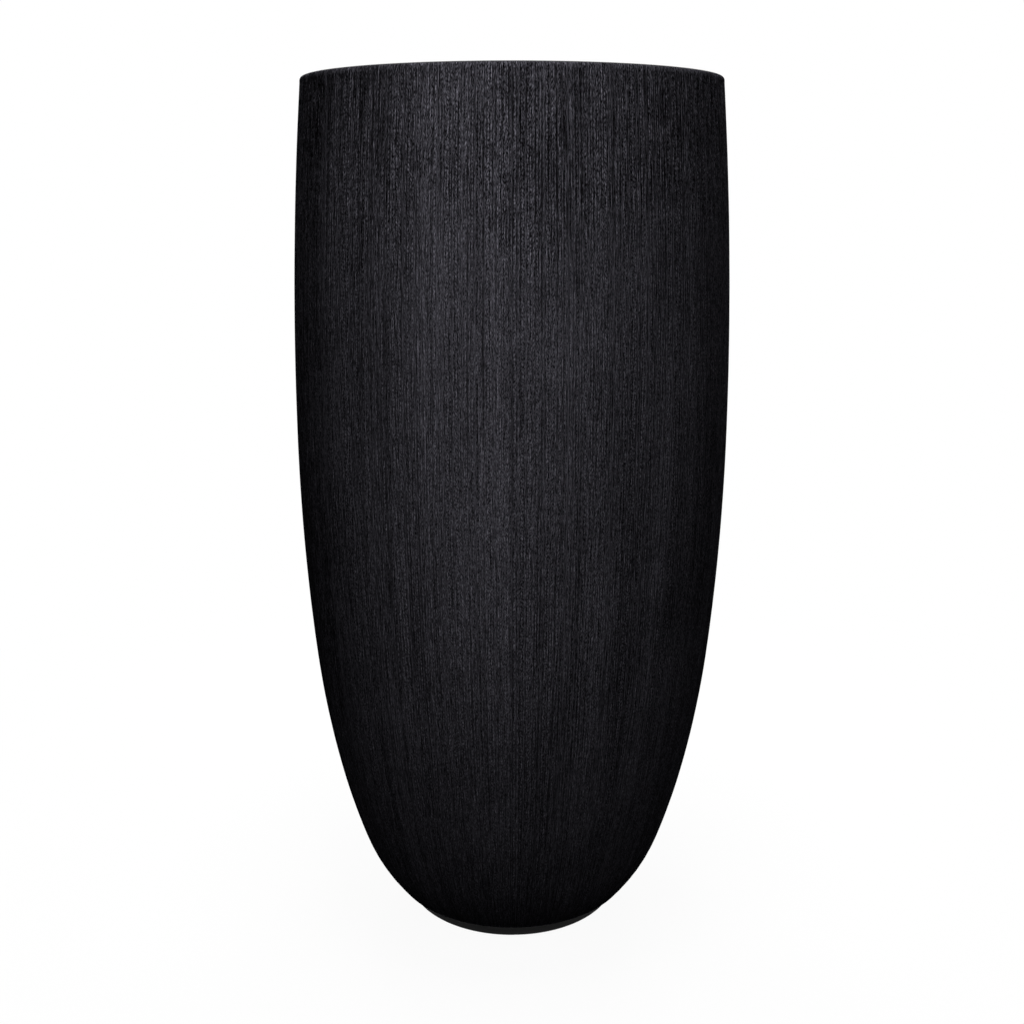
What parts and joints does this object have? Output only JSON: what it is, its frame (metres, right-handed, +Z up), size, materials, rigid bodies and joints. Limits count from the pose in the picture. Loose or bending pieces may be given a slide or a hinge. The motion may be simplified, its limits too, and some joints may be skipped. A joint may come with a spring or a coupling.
{
  "type": "floor planter",
  "caption": "Tall round vase-shaped concrete floor planter with a rounded taper, a recessed foot and a rubber drain plug that lifts out.",
  "frame": {"origin": "on the pot's axis, at the floor plane that its pads stand on", "axes": "+Z up along the pot's axis, from the foot to the rim; +X to the right and -Y towards the viewer of the picture"},
  "size_m": [0.507, 0.5068, 1],
  "materials": {
    "wall_shell": "near-black through-dyed fibre concrete, combed in fine broken lines from rim to foot, matt with a faint sheen",
    "base_slab": "plain neutral charcoal cast concrete, matt",
    "drain_plug": "moulded black rubber, satin",
    "floor_pads": "dark grey rubber, matt"
  },
  "bodies": {
    "pot": {"wall_shell": "wall_shell", "base_slab": "base_slab", "floor_pad_1": "floor_pads", "floor_pad_2": "floor_pads", "floor_pad_3": "floor_pads", "floor_pad_4": "floor_pads"},
    "plug": {"drain_plug": "drain_plug"}
  },
  "joints": [
    {"name": "plug_lift", "type": "slide", "parent": "pot", "child": "plug", "axis": [0, 0, 1], "range_m": [0, 1]}
  ]
}
